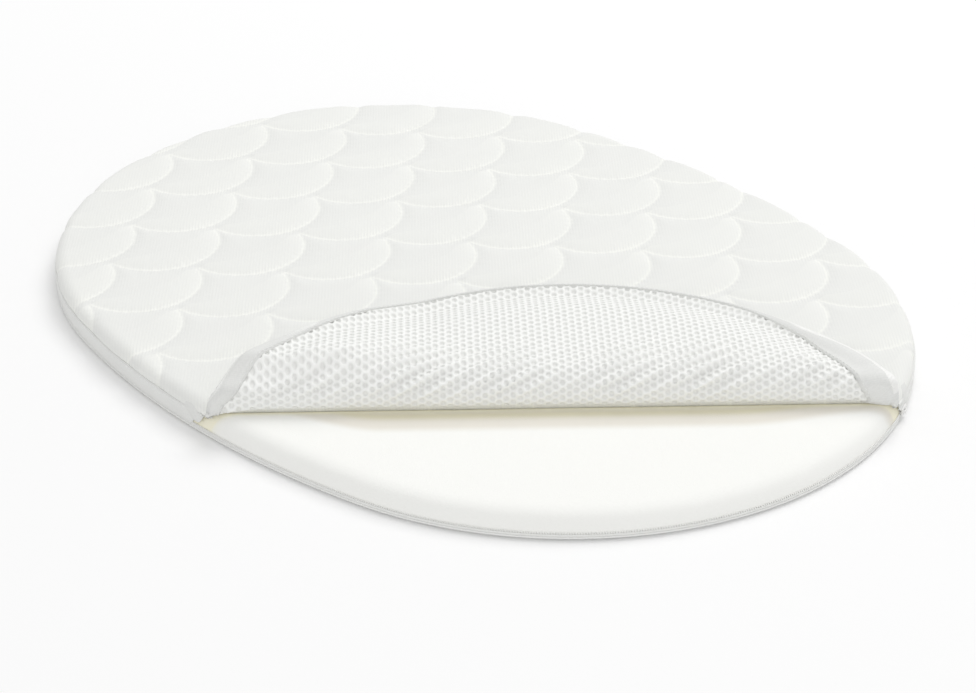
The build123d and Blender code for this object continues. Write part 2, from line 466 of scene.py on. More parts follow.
def makeQuiltKnit():
    constants = {"Roughness": 0.86, "Sheen Weight": 0.1, "Specular IOR Level": 0.25}
    shader, start = newFinish("quiltKnit", "cloth", constants)
    x, y, _ = parts(start)
    gap, signed, tipped = scaleShade(x, y)
    ribs = (measured(x, y, foldAlong) * (2 * math.pi / knit["ribPitch"])).maths("SINE") * 0.5 + 0.5
    uneven = noise(start, 0.09, 2.0)
    cloud = noise(start, 0.02, 3.0)
    grain = noise(start, 1.6, 2.0)
    sewn = (gap * gap * knit["threadTight"]).maths("EXPONENT") * (0.4 + uneven * 1.2)
    streak = (gap * (tipped * 0.2 - 0.34)).maths("EXPONENT") * (0.3 + tipped * 0.7) * (uneven * 2.0)
    # Painted light on the side of each sewn line within its scale, painted shade on the side beyond it
    paintedSideShading = (gap * knit["paintedSideFade"]).maths("EXPONENT")
    within = paintedSideShading * signed.maths("LESS_THAN", 0.0)
    beyond = paintedSideShading * signed.maths("GREATER_THAN", 0.0)
    tone = knit["middle"] + sewn * knit["thread"] + streak * ribs * knit["streaks"]
    tone = tone + within * knit["within"] - beyond * knit["beyond"]
    tone = tone + (cloud - 0.5) * knit["clouds"] + (ribs - 0.5) * knit["ribs"]
    feed(blendColour(start, tone, knit["shade"], knit["light"]), shader, "Base Color")
    height = ribs * (0.3 + streak * 0.7) * 0.7 + grain * 0.5
    feed(bumped(start, height, 0.35, knit["relief"]), shader, "Normal")


# Yarn of the net: painted shade, greyer in the hollows of its ripples and greyer still down in its gaps
yarn = {
    "ridge": (0.975, 0.98, 0.96, 1),
    "hollow": (0.885, 0.888, 0.867, 1),
    "gap": (0.87, 0.873, 0.85, 1),
    "relief": 0.0005,
}


def makeNetYarn():
    constants = {"Roughness": 0.55, "Sheen Weight": 0.1, "Specular IOR Level": 0.4}
    shader, start = newFinish("netYarn", "cloth", constants)
    deep = start.node("ShaderNodeAttribute", {"attribute_name": "deep"}, out=2)
    hollow = start.node("ShaderNodeAttribute", {"attribute_name": "hollow"}, out=2)
    twist = noise(start, 1.3, 3.0)
    # Painted shade in the ripples' hollows, then painted shade down in the gaps
    strand = blendColour(start, 0.22 + hollow * 0.7, yarn["ridge"], yarn["hollow"])
    feed(blendColour(start, deep + (twist - 0.5) * 0.25, strand, yarn["gap"]), shader, "Base Color")
    feed(0.5 + deep * 0.35, shader, "Roughness")
    feed(bumped(start, twist, 0.3, yarn["relief"]), shader, "Normal")


# Foam: fine cells, with painted shade close in front of the fold: a cream painted shadow, a darker yellow
# painted shadow strip in it, and pale yellow painted light right at the crease
foamToneAndPaintedShade = {
    "light": (0.975, 0.977, 0.95, 1),
    "dark": (0.93, 0.93, 0.895, 1),
    # painted shadow in front of the fold
    "shade": (0.85, 0.818, 0.745, 1),
    "shadeEnds": (22.0, 34.0),  # from the fold, where the shade starts to end and where it has ended
    # painted shadow strip, darker and yellower
    "paintedShadowStrip": (0.8, 0.757, 0.575, 1),
    "stripAt": 8.0,
    "stripTight": -0.035,
    # painted light, pale yellow, right at the crease
    "paintedCreaseLight": (0.985, 0.95, 0.77, 1),
    "creaseAt": 1.5,
    "creaseFade": -0.5,
    "left": (-175.0, -70.0, 36.0, 0.0),  # from and to along the fold, and how much sooner it ends there
    "right": (190.0, 295.0, 0.0, 18.0),
    "strength": 0.9,
    "relief": 0.0004,
}


def makeFoam():
    shader, start = newFinish("foamCells", "cloth", {"Roughness": 0.92, "Specular IOR Level": 0.15})
    cells = start.node("ShaderNodeTexVoronoi", None, {"Vector": start, "Scale": 0.9})
    cloud = noise(start, 0.009, 3.0)
    x, y, _ = parts(start)
    beyond = measured(x, y, foldAhead) - coverFold
    across = measured(x, y, foldAlong)
    # Painted shade in front of the fold, ending sooner towards its two ends; the strip is painted shadow
    # and the crease painted light
    reach = beyond + eased(across, *foamToneAndPaintedShade["left"]) + eased(across, *foamToneAndPaintedShade["right"])
    shade = eased(reach, *foamToneAndPaintedShade["shadeEnds"], 1.0, 0.0)
    aside = reach - foamToneAndPaintedShade["stripAt"]
    paintedShadowStrip = (aside * aside * foamToneAndPaintedShade["stripTight"]).maths("EXPONENT") * foamToneAndPaintedShade["strength"]
    past = (beyond - foamToneAndPaintedShade["creaseAt"]).maths("MAXIMUM", 0.0)
    paintedCreaseLight = (past * foamToneAndPaintedShade["creaseFade"]).maths("EXPONENT") * foamToneAndPaintedShade["strength"]
    colour = blendColour(start, cells * 0.3 + (cloud - 0.5) * 0.4, foamToneAndPaintedShade["light"], foamToneAndPaintedShade["dark"])
    for factor, tint in ((shade, "shade"), (paintedShadowStrip, "paintedShadowStrip"), (paintedCreaseLight, "paintedCreaseLight")):
        colour = blendColour(start, factor, colour, foamToneAndPaintedShade[tint])
    feed(colour, shader, "Base Color")
    feed(bumped(start, cells, 0.25, foamToneAndPaintedShade["relief"]), shader, "Normal")


# Plain weave, clouded and specked a little
def makeWeave(name, pale, deep, pitch, roughness):
    constants = {"Roughness": roughness, "Sheen Weight": 0.08, "Specular IOR Level": 0.3}
    shader, start = newFinish(name, "cloth", constants)
    run, rise, _ = parts(start)
    warp, weft = ((way * (2 * math.pi / pitch)).maths("SINE") for way in (run, rise))
    weave = warp * weft * 0.5 + 0.5
    cloud = noise(start, 0.05, 3.0)
    speck = noise(start, 0.7, 2.0)
    tone = weave * 0.5 + (cloud - 0.4) * 0.6 + (speck - 0.5) * 1.4
    feed(blendColour(start, tone, pale, deep), shader, "Base Color")
    feed(bumped(start, weave, 0.35, 0.0003), shader, "Normal")


def makeNylon(name, pale, deep, roughness):
    shader, start = newFinish(name, "object", {"Roughness": roughness, "Specular IOR Level": 0.5})
    cloud = noise(start, 260.0, 2.0)
    feed(blendColour(start, cloud, pale, deep), shader, "Base Color")
    feed(roughness * 0.7 + cloud * 0.3, shader, "Roughness")
    feed(bumped(start, cloud, 0.1, 0.0002), shader, "Normal")


makeQuiltKnit()
makeNetYarn()
makeFoam()
makeWeave("bandWeave", (0.87, 0.875, 0.855, 1), (0.8, 0.805, 0.785, 1), 1.1, 0.8)
makeWeave("baseWeave", (0.92, 0.925, 0.905, 1), (0.86, 0.865, 0.845, 1), 1.4, 0.85)
makeWeave("facingWeave", (0.84, 0.845, 0.825, 1), (0.76, 0.765, 0.745, 1), 1.1, 0.85)
makeWeave("tapeWeave", (0.92, 0.925, 0.9, 1), (0.86, 0.865, 0.845, 1), 0.8, 0.7)
makeNylon("coilNylon", (0.95, 0.95, 0.93, 1), (0.9, 0.9, 0.88, 1), 0.4)
makeNylon("sewingThread", (0.93, 0.935, 0.92, 1), (0.86, 0.865, 0.85, 1), 0.6)
makeNylon("slideEnamel", (0.88, 0.88, 0.87, 1), (0.85, 0.85, 0.84, 1), 0.3)
print("finishes made:", len(finishes))

# Quilted cover, drawn closed over the whole oval, then cut at the fold
cover = {
    "columns": 312,
    "rows": 236,
    "fixedInset": 1.2,  # how far inside the band its rim lies
    "flapInset": 1.9,
    "shoulder": 9.0,
    "shoulderSteps": 7,
    "wall": 2.6,  # thickness at the sewn edge
    "underReach": 1.0,  # how far its underside reaches out past the flat top
    "clearance": 0.05,  # between its underside and where the lining would lie
    "hem": 2.0,  # height of the sewn edge inside
    "puff": 2.5,
    "puffReach": 7.0,
    "seat": 25.3,  # height of the sewn lines
    "foldLimit": 27.0,  # no higher than this where the cover bends
    "foldSpare": 2.0,  # how much higher it may be away from there
    "foldSpareReach": 16.0,
    "foldRim": 0.4,  # how far the rim hangs below the lining where the cover bends
    "foldRimFrom": 2.0,
    "foldRimReach": 14.0,
    "foldStep": 1.3,
    "foldSteps": 30.0,  # length that is cut this finely, to bend well
    "gather": 0.28,
    "gatherPitch": 8.0,
    "gatherReach": 5.0,
    "fill": 0.35,
}
quiltBend = (2.2, 2.5)


def puffAt(points):
    gap, walked = scaleLines(points)
    swell = cover["puff"] * (1 - np.exp(-(np.sqrt(gap ** 2 + 1.0) - 1.0) / cover["puffReach"]))
    pull = cover["gather"] * np.cos(2 * math.pi * walked / cover["gatherPitch"])
    return swell + pull * np.exp(-gap / cover["gatherReach"])


def coverShell(rimInset, underside):
    shoulder, steps, seat = cover["shoulder"], cover["shoulderSteps"], cover["seat"]
    flat, faces, rim = ovalGrid(cover["columns"], cover["rows"], rimInset + shoulder)
    edge = flat[rim]
    normal = edgeOf(edge)[0]
    rings = []
    for step in range(1, steps + 1):
        tilt = math.pi / 2 * step / steps
        out, up = shoulder * math.sin(tilt), shoulder * math.cos(tilt)
        spot = edge + normal * out
        swell = puffAt(spot) * math.cos(tilt) ** 0.5 if step < steps else np.zeros(len(spot))
        xy = spot + normal * (swell * math.sin(tilt))[:, None]
        rings.append(np.c_[xy, seat - shoulder + up + swell * math.cos(tilt)])
    within = shoulder - cover["wall"]
    for out, height in (
        (shoulder, rimBottom),
        (within, rimBottom),
        (within, rimBottom + cover["hem"]),
        (cover["underReach"], underside),
    ):
        rings.append(np.c_[edge + normal * out, np.full(len(edge), height)])
    points = np.concatenate([np.c_[flat, seat + puffAt(flat)]] + rings)
    fromBend = np.maximum(coverFold - ahead(points), ahead(points) - flapFold)
    limit = cover["foldLimit"] + cover["foldSpare"] * smooth(fromBend / cover["foldSpareReach"])
    points[:, 2] = np.minimum(points[:, 2], limit)
    return points, faces + skirtFaces(rim, len(flat), len(rings))


# Cuts a mesh across the fold direction; keep is behind, ahead or both
def cutAcross(build, offset, keep):
    geometry = build.verts[:] + build.edges[:] + build.faces[:]
    direction = Vector((foldAhead[0], foldAhead[1], 0))
    cut = bmesh.ops.bisect_plane(
        build,
        geom=geometry,
        dist=1e-4,
        plane_co=direction * offset,
        plane_no=direction,
        clear_outer=keep == "behind",
        clear_inner=keep == "ahead",
    )
    if keep != "both":
        edges = [item for item in cut["geom_cut"] if isinstance(item, bmesh.types.BMEdge)]
        bmesh.ops.edgeloop_fill(build, edges=edges)


def cutCover(points, faces, cuts):
    build = bmesh.new()
    verts = [build.verts.new(point) for point in points]
    for face in faces:
        build.faces.new([verts[i] for i in face])
    for offset, keep in cuts:
        cutAcross(build, offset, keep)
    build.verts.index_update()
    points = np.array([vert.co[:] for vert in build.verts])
    faces = [tuple(vert.index for vert in face.verts) for face in build.faces]
    build.free()
    return points, faces


# Squeezes the rim together where the cover bends
def thinAtFold(points):
    rim, seat = neutral - cover["foldRim"], cover["seat"]
    raised = rim + (points[:, 2] - rimBottom) * (seat - rim) / (seat - rimBottom)
    bend = 1 - smooth((ahead(points) - flapFold - cover["foldRimFrom"]) / cover["foldRimReach"])
    points[:, 2] += bend * (points[:, 2] < seat) * (raised - points[:, 2])
    return points


def turnedFlap(points):
    shares = turnShares(points, *quiltBend)
    u, v, z = rolled(points, shares)
    z = np.where(ahead(points) >= midFold, z + standOff(u, v, flapStand["lift"]), z)
    return fromFold(u, v, z)


def makeQuilt():
    shell = coverShell(cover["fixedInset"], liningBottom + cover["clearance"])
    points, faces = cutCover(*shell, [(coverFold, "behind")])
    piece = meshPiece("quiltTop", points, faces, "quiltKnit", {"cloth": points})
    outwardFaces(piece)
    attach(piece, "mattress")
    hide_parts("quilt_top", "mesh_lining")
    shell = coverShell(cover["flapInset"], neutral)
    fine = np.arange(cover["foldStep"], cover["foldSteps"], cover["foldStep"])
    front = cutCover(*shell, [(coverFold, "ahead")] + [(coverFold + step, "both") for step in fine])
    for name, node, keep in (("quiltRoll", "quilt_fold", "behind"), ("quiltFlap", "quilt_flap", "ahead")):
        points, faces = cutCover(*front, [(midFold, keep)])
        points = thinAtFold(points)
        piece = meshPiece(name, turnedFlap(points), faces, "quiltKnit", {"cloth": points})
        outwardFaces(piece)
        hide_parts(node)
        blendAcross(piece, keep == "ahead", quiltBend)


makeQuilt()
print("quilt made")

# Lining of the turned corner: a net with a plain cloth facing, loose over the quilt
lining = {
    "rise": 4.3,  # how far its edge follows the sewn rim
    "riseReach": 16.0,
    "margin": 5.0,
    "levelFor": 14.0,  # length from the fold before its edge follows the rim
    "levelEase": 20.0,
    "leaves": 33.0,  # degrees above level, where the net leaves the fold
    "noseRun": 8.0,  # length over which it turns upright
    "backFrom": 6.0,
    "backRun": 38.0,  # length over which it turns on, to lie back
    "lift": 9.0,
    "heldEdge": 3.0,  # width in which it is held close to the quilt
    "looseReach": 28.0,
    "looseMore": 17.0,  # added to that reach, away from the fold
    "looseFrom": 20.0,
    "looseEase": 40.0,
}
netBendLow = (0.0, 4.6)
netBendHigh = (0.0, 12.0)
frontReach = endCentre * foldAhead[0] + endRadius


# The loose section through the fold: distance along it, how far ahead, height and heading
def looseSection():
    run = np.linspace(-15, 200, 4301)
    leaves = math.radians(lining["leaves"])
    heading = leaves + (math.pi / 2 - leaves) * smooth(run / lining["noseRun"])
    heading += flapTurn * smooth((run - lining["backFrom"]) / lining["backRun"])
    reach = np.cumsum(np.cos(heading)) * (run[1] - run[0])
    rise = np.cumsum(np.sin(heading)) * (run[1] - run[0])
    start = np.argmin(np.abs(run))
    return run, reach - reach[start], neutral + rise - rise[start], heading


sectionRun, sectionReach, sectionRise, sectionHeading = looseSection()
fullness = sectionRun[np.argmax(sectionReach < flapFold - frontReach)] / (frontReach - coverFold)

# Slanting ripples low on the turned net
ripples = {
    "height": 2.2,
    "pitch": 10.5,
    "along": 0.42,  # slope of the lines, along the fold and away from it
    "away": 0.91,
    "from": 6.0,
    "fromEase": 10.0,
    "to": 38.0,
    "toEase": 34.0,
    "edge": 8.0,  # width that stays flat round the net
    "edgeEase": 25.0,
}


# Below 0 in a hollow, above 0 on a ridge
def rippleAt(s, v, inset):
    lines = (v * ripples["along"] - s * ripples["away"]) / ripples["pitch"]
    wander = 0.6 + 0.4 * np.sin(v / 41.0) * np.sin(v / 17.0 + 1)
    wave = 0.5 + 0.5 * np.sin(2 * math.pi * lines + 1.2 * np.sin(v / 63.0))
    place = smooth((s - ripples["from"]) / ripples["fromEase"])
    place = place * (1 - smooth((s - ripples["to"]) / ripples["toEase"]))
    place = place * smooth((inset - ripples["edge"]) / ripples["edgeEase"])
    return (2 * wave ** 1.6 - 0.8) * wander * place


# 0 along the part of the lining that bends, 1 past it
def pastBend(s):
    return smooth((s - lining["levelFor"]) / lining["levelEase"])


def liningPlace(u, v, deep, loose=1.0):
    flat = fromFold(u, v, u * 0)
    inset = edgeOf(flat)[1]
    s = u - coverFold
    toRim = smooth((lining["riseReach"] - inset) / (lining["riseReach"] - lining["margin"]))
    flat[:, 2] = liningBottom - lining["rise"] * toRim ** 1.5 * pastBend(s) + deep
    level = np.c_[flat[:, :2], np.full(len(u), neutral)]
    shares = turnShares(level, 0.0, np.where(u >= midFold, netBendHigh[1], netBendLow[1]))
    nearU, _, nearZ = rolled(flat, shares)
    ripple = ripples["height"] * rippleAt(s, v, inset)
    run = s * fullness
    heading = np.interp(run, sectionRun, sectionHeading)
    farU = coverFold + np.interp(run, sectionRun, sectionReach) + (ripple - deep) * np.sin(heading)
    farZ = np.interp(run, sectionRun, sectionRise) - (ripple - deep) * np.cos(heading)
    reach = lining["looseReach"]
    reach = reach + lining["looseMore"] * smooth((s - lining["looseFrom"]) / lining["looseEase"])
    share = loose * smooth((inset - lining["heldEdge"]) / reach)
    newU, newZ = nearU + share * (farU - nearU), nearZ + share * (farZ - nearZ)
    stand = standOff(newU, v, flapStand["lift"] + loose * lining["lift"])
    return fromFold(newU, v, newZ + np.where(u >= midFold, stand, 0)), flat


# A lining mesh is cut in two at the middle of the fold
def splitAtFold(names, nodes, place, cloth, u, faces, finish, slot, values):
    middle = np.array([np.mean(u[list(face)]) for face in faces])
    pieces = []
    for name, node, upper in zip(names, nodes, (False, True)):
        used = [face for face, part in zip(faces, middle >= midFold) if part == upper]
        ids = np.unique(np.concatenate([np.array(face) for face in used]))
        renamed = np.full(len(u), -1)
        renamed[ids] = np.arange(len(ids))
        used = [tuple(int(renamed[i]) for i in face) for face in used]
        kept = {"cloth": cloth[ids], **{key: value[ids] for key, value in values.items()}}
        piece = meshPiece(name, place[ids], used, finish, kept)
        if node:
            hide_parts(node)
        blendAcross(piece, upper, netBendHigh if upper else netBendLow)
        pieces.append(piece)
    return pieces


# Net: six-sided gaps between rounded strands
net = {
    "pitch": 6.0,
    "columns": 70,  # to each side of the middle
    "hole": 1.8,
    "strand": 0.45,  # how far a strand stands above the edge of its gap
    "depth": 0.8,
    "backGap": 0.3,  # between its back and the quilt
    "lap": 4.0,  # how far it runs under its facing
    "edge": 1.4,  # its least distance from the sewn rim
    "rightEnd": 286.0,  # where its right side starts at the fold
    "rightSlope": 0.63,
    "jitter": 0.25,
    "fill": 0.2,
}

# Width of the plain facing: narrow along the front, wider to the left and most of all to the right
facing = {
    "front": 1.0,
    "left": 3.5,
    "leftFrom": -75.0,
    "right": 7.0,
    "rightFrom": 200.0,
    "ease": 60.0,
    "seam": 2.2,
}


def facingWidth(v):
    toLeft = smooth((facing["leftFrom"] - v) / facing["ease"])
    toRight = smooth((v - facing["rightFrom"]) / facing["ease"])
    return facing["front"] + facing["left"] * toLeft + facing["right"] * toRight + facing["seam"]


def netEdge(v):
    return np.maximum(facingWidth(v) - net["lap"], net["edge"])


def netRight(u):
    return net["rightEnd"] + net["lap"] - net["rightSlope"] * np.maximum(u - flapFold, 0)


# Draws the net's outermost points in to a clean line
def netTrim(u, v):
    for _ in range(2):
        normal, inset = edgeOf(fromFold(u, v, u * 0))
        over = np.maximum(netEdge(v) - inset, 0)
        u, v = u - over * ahead(normal), v - over * along(normal)
    return u, np.minimum(v, netRight(u))


# Corners of the six-sided cells, with a point halfway along each side, and the ring round each cell
def netCells():
    pitch, side = net["pitch"], net["pitch"] / math.sqrt(3)
    corners, spots, cells = {}, [], []

    def corner(run, v):
        key = (round(run * 20), round(v * 20))
        if key not in corners:
            corners[key] = len(spots)
            spots.append((coverFold + run / fullness, v))
        return corners[key]

    for column in range(-net["columns"], net["columns"] + 1):
        v = column * (pitch * math.sqrt(3) / 2)
        for row in range(-1, int((frontReach - coverFold) * fullness / pitch) + 1):
            run = (row + 0.5 + (column % 2) / 2) * pitch
            u = coverFold + run / fullness
            inset = edgeOf(fromFold(np.array([u]), np.array([v]), np.zeros(1)))[1][0]
            if inset < netEdge(v) - pitch / 2 or v > netRight(u) + pitch / 2:
                continue
            ring = []
            for step in range(6):
                for part in (0, 0.5):
                    a, b = (math.radians(60 * (step + k)) for k in (0, 1))
                    up = side * ((1 - part) * math.sin(a) + part * math.sin(b))
                    cv = v + side * ((1 - part) * math.cos(a) + part * math.cos(b))
                    ring.append(corner(run + up, cv))
            cells.append(ring)
    return np.array(spots), cells


def makeNet():
    rng = np.random.default_rng(7)
    spots, cells = netCells()
    spots += rng.uniform(-net["jitter"], net["jitter"], spots.shape)
    count = len(spots)
    # The last value of each row is painted shade: none on the strands, full on the back
    rows = [(spots, -net["strand"], 0.0), (spots, neutral - liningBottom - net["backGap"], 1.0)]
    faces, edges = [], set()
    total = 2 * count
    turns = np.radians(30 * np.arange(12))
    for ring in cells:
        outer = spots[ring]
        centre = outer.mean(axis=0)
        circle = net["hole"] * rng.uniform(0.95, 1.05) * np.c_[np.sin(turns), np.cos(turns)]
        inner = centre + 0.5 * circle + 0.35 * (outer - centre)
        last = ring
        # the darkness of each level is painted shade, deepest down in the gap
        for level in (  # points, depth and darkness
            (outer * 0.45 + inner * 0.55, -net["strand"] * 0.75, 0.0),
            (inner, 0.0, 0.2),
            (centre + (inner - centre) * 0.85, net["depth"], 0.9),
        ):
            rows.append(level)
            here = list(range(total, total + 12))
            total += 12
            for i in range(12):
                n = (i + 1) % 12
                faces.append((last[i], last[n], here[n], here[i]))
            last = here
        faces.append(tuple(last))
        faces.append(tuple(i + count for i in ring[::-1]))
        edges.update((ring[i], ring[(i + 1) % 12]) for i in range(12))
    for first, second in edges:
        if (second, first) not in edges:
            faces.append((second, first, first + count, second + count))
    place = np.concatenate([row[0] for row in rows])
    deep, dark = (np.concatenate([np.full(len(row[0]), row[k]) for row in rows]) for k in (1, 2))
    u, v = netTrim(place[:, 0], place[:, 1])
    # The ripples' hollows get painted shade; deep carries the painted shade down in the gaps
    hollow = -rippleAt(u - coverFold, v, edgeOf(fromFold(u, v, u * 0))[1])
    names, nodes = ("netRoll", "netFlap"), ("mesh_fold", "mesh_flap")
    values = {"deep": dark, "hollow": hollow}
    for piece in splitAtFold(names, nodes, *liningPlace(u, v, deep), u, faces, "netYarn", "net", values):
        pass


makeNet()
print("net made")

# Plain facing round the lining, which turns over at the ends of the fold into the fixed side
border = {
    "stations": 520,
    "turnStations": 26,
    "overFold": 22.0,  # how far it laps over the fixed side
    "slant": 18.0,  # how much further it laps there at its upper edge
    "slantFrom": -6.0,
    "slantRun": 28.0,
    "outer": 1.6,
    "flare": 7.0,  # how far it spreads past the rim by the ends of the fold
    "flareFrom": -105.0,
    "flareEase": 55.0,
    "flareTo": 6.0,
    "flareFade": 22.0,
    "droop": 4.0,
    "turnFrom": -1.0,  # where it starts to turn, before the end of the fold
    "turnRun": 11.0,
    "shoulder": 10.6,  # radius over the shoulder of the fixed side
    "topTilt": 25.0,
    "hem": 9.0,  # height of its lower edge on the fixed side
    "sink": 1.1,
    "sinkFrom": 13.0,
    "sinkRun": 9.0,
    "rightSpare": 3.0,  # how far it laps over the net's right side
    "clothWidth": 14.0,
    "fill": 0.3,
}
borderEnds = crossings(coverFold + 0.02)


# Points of the facing: share runs from its inner edge, 0, to its outer edge, 1
def borderPlace(walked, inset, deep, loose, share, proud):
    edge, normal = edgeAt(walked)
    over = np.maximum(borderEnds[0] - walked, walked - borderEnds[1])
    spread = share * smooth((border["flareTo"] - over) / border["flareFade"])
    spread = spread * smooth((over - border["flareFrom"]) / border["flareEase"])
    flat = edge - (inset - border["flare"] * spread)[:, None] * normal
    u, v = ahead(flat), along(flat)
    place, _ = liningPlace(u, v, deep + border["droop"] * spread * smooth(share * 3.6 - 2.6), loose)
    sunk = border["sink"] * smooth((over - border["sinkFrom"]) / border["sinkRun"])
    slanted = border["slant"] * (1 - share) * smooth((over - border["slantFrom"]) / border["slantRun"])
    edge, normal = edgeAt(walked + np.where(walked > frontWalk, slanted, -slanted))
    tilt = np.radians(border["topTilt"] + (90 - border["topTilt"]) * np.minimum(share * 2, 1))
    centre = cover["shoulder"] + cover["fixedInset"]
    radius = border["shoulder"] + proud - sunk
    sideInset = centre - radius * np.sin(tilt)
    middle = cover["seat"] - cover["shoulder"]
    height = middle + radius * np.cos(tilt) - (middle - border["hem"]) * np.maximum(share * 2 - 1, 0)
    side = np.c_[edge - sideInset[:, None] * normal, height]
    mix = smooth((over - border["turnFrom"]) / border["turnRun"])[:, None]
    return place * (1 - mix) + side * mix, u


# Rows of the section are inset, depth, looseness, share of the width, and how far proud of the side
def borderPieces(names, walked, rows, finish, slot):
    ring = len(rows)
    columns = [[np.broadcast_to(value, len(walked)) for value in column] for column in zip(*rows)]
    inset, deep, loose, share, proud = (np.stack(column, axis=1).ravel() for column in columns)
    place, u = borderPlace(np.repeat(walked, ring), inset, deep, loose, share, proud)
    cloth = np.c_[np.repeat(walked, ring), share * border["clothWidth"], share * 0]
    faces = sweptFaces(len(walked), ring, False)
    if len(names) == 1:
        pieces = [meshPiece(names[0], place, faces, finish, {"cloth": cloth})]
        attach(pieces[0], "mattress")
    else:
        pieces = splitAtFold(names, (None, None), place, cloth, u, faces, finish, slot, {})
    for piece in pieces:
        outwardFaces(piece)


def borderInner(walked):
    edge, normal = edgeAt(walked)
    u, v = ahead(edge), along(edge)
    ramp = np.where(u >= flapFold, net["rightSlope"], 0.0)
    spare = v + ramp * (u - flapFold) - net["rightEnd"] + border["rightSpare"]
    return np.maximum(facingWidth(v), spare / np.maximum(along(normal) + ramp * ahead(normal), 0.2))


def facingRows(walked):
    inner = borderInner(walked)
    outer = border["outer"]
    thinned = 2.0 * (1 - pastBend(ahead(edgeAt(walked)[0]) - coverFold))
    rows = []
    for share in (0.0, 0.15, 0.3, 0.45, 0.6, 0.75, 0.9):
        inset = outer + (inner - outer) * (1 - share)
        rows.append((inset, -1.05 - 0.6 * smooth(share * 3), 1.0, share, 0.0))
    rows.append((outer + 0.3, -1.3, 1.0, 0.97, 0.0))
    rows.append((outer, -0.6, 1.0, 1.0, -0.3))
    rows.append((outer, 1.5 - thinned, 0.0, 1.0, -0.9))
    rows.append((outer + 1.0, 1.5 - thinned, 0.0, 0.95, -1.2))
    rows.append((outer + 4.5, 1.3 - thinned, 0.0, 0.3, -1.2))
    rows.append((outer + 1.4, 0.3, 1.0, 0.9, -1.2))
    rows.append((inner, 0.4, 1.0, 0.0, -1.2))
    return rows


# The moving facing ends with the fold; its ends, turned in, stay on the fixed side
def makeBorder():
    left, right = borderEnds[0] - border["turnFrom"], borderEnds[1] + border["turnFrom"]
    lap = border["overFold"] - border["turnFrom"]
    for names, start, end, count in (
        (("borderRoll", "borderFlap"), left, right, border["stations"]),
        (("leftTurnIn",), left - lap, left, border["turnStations"]),
        (("rightTurnIn",), right, right + lap, border["turnStations"]),
    ):
        walked = np.linspace(start, end, count)
        borderPieces(names, walked, facingRows(walked), "facingWeave", "band_cloth")


# Open zip edge that shows along the facing at each end of the fold, ribbed by its teeth
zipEdge = {
    "run": 130.0,
    "over": -1.0,  # how far it runs on past the end of the fold
    "wide": 4.4,
    "crown": 1.5,
    "pitch": 1.9,
    "ribs": 0.2,
    "step": 0.47,
    "fadeIn": 45.0,
    "fadeOut": 12.0,
}


def makeZipEdge(side, names, finish, slot, fadeFrom):
    foldEnd = borderEnds[side > 0]
    start, end = foldEnd - side * zipEdge["run"], foldEnd + side * zipEdge["over"]
    walked = np.linspace(min(start, end), max(start, end), int(abs(end - start) / zipEdge["step"]))
    shown = smooth(np.abs(walked - start) / zipEdge["fadeIn"])
    fade = 1 - smooth((side * (walked - foldEnd) - fadeFrom) / zipEdge["fadeOut"])
    ribbed = 1 - zipEdge["ribs"] + zipEdge["ribs"] * np.cos(2 * math.pi * walked / zipEdge["pitch"])
    rows = []
    for turn in np.linspace(0, math.pi, 7):
        reach = zipEdge["wide"] * (0.5 - 0.5 * math.cos(turn)) * (0.35 + 0.65 * shown)
        crown = zipEdge["crown"] * ribbed * math.sin(turn) ** 0.7 * fade
        deep = -1.2 - crown * shown + 1.4 * (1 - fade)
        rows.append((border["outer"] - 0.3 + reach, deep, 1.0, 1.0 - 0.06 * turn, crown + 1.2 * fade - 1.0))
    rows.append((border["outer"] + 0.5 * zipEdge["wide"], 0.4, 1.0, 0.95, -1.2))
    borderPieces(names, walked, rows, finish, slot)


# Sewn stitches, as short rounded threads between pairs of points
thread = {
    "length": 2.7,
    "pitch": 3.9,
    "radius": 0.3,
    "sides": 6,
    "facingShare": 0.12,  # where the seam lies across the facing
    "facingDepth": -1.75,
    "facingEnd": 9.0,  # how far the seam stops short of the facing's ends
    "bandEnd": 22.0,  # and of the band's
    "bandDrop": 1.6,
    "bandInset": -0.05,
}


def threadMesh(starts, ends):
    run = ends - starts
    axis = run / np.linalg.norm(run, axis=1, keepdims=True)
    first = np.cross(axis, [0.0, 0.0, 1.0])
    first /= np.linalg.norm(first, axis=1, keepdims=True)
    second = np.cross(axis, first)
    sides = thread["sides"]
    turn = (2 * math.pi / sides * np.arange(sides))[None, :, None]
    across = np.cos(turn) * first[:, None, :] + np.sin(turn) * second[:, None, :]
    rings = []
    for part, size in ((0.0, 0.3), (0.2, 1.0), (0.8, 1.0), (1.0, 0.3)):
        rings.append((starts + run * part)[:, None, :] + thread["radius"] * size * across)
    points = np.stack(rings, axis=1).reshape(-1, 3)
    single = sweptFaces(4, sides, False)
    faces = [tuple(4 * sides * k + i for i in face) for k in range(len(starts)) for face in single]
    return points, faces


def borderStitches(names):
    share, short = thread["facingShare"], thread["facingEnd"]
    spots = np.arange(borderEnds[0] + short, borderEnds[1] - short, thread["pitch"])
    ends = []
    for half in (-0.5, 0.5):
        walked = spots + half * thread["length"]
        inset = border["outer"] + (borderInner(walked) - border["outer"]) * (1 - share)
        level = np.full(len(walked), share)
        none = np.zeros(len(walked))
        place, u = borderPlace(walked, inset, none + thread["facingDepth"], none + 1, level, none)
        ends.append(place)
    points, faces = threadMesh(*ends)
    u = np.repeat(u, len(points) // len(u))
    pieces = splitAtFold(names, (None, None), points, points, u, faces, "sewingThread", "band_cloth", {})
    for piece in pieces:
        outwardFaces(piece)


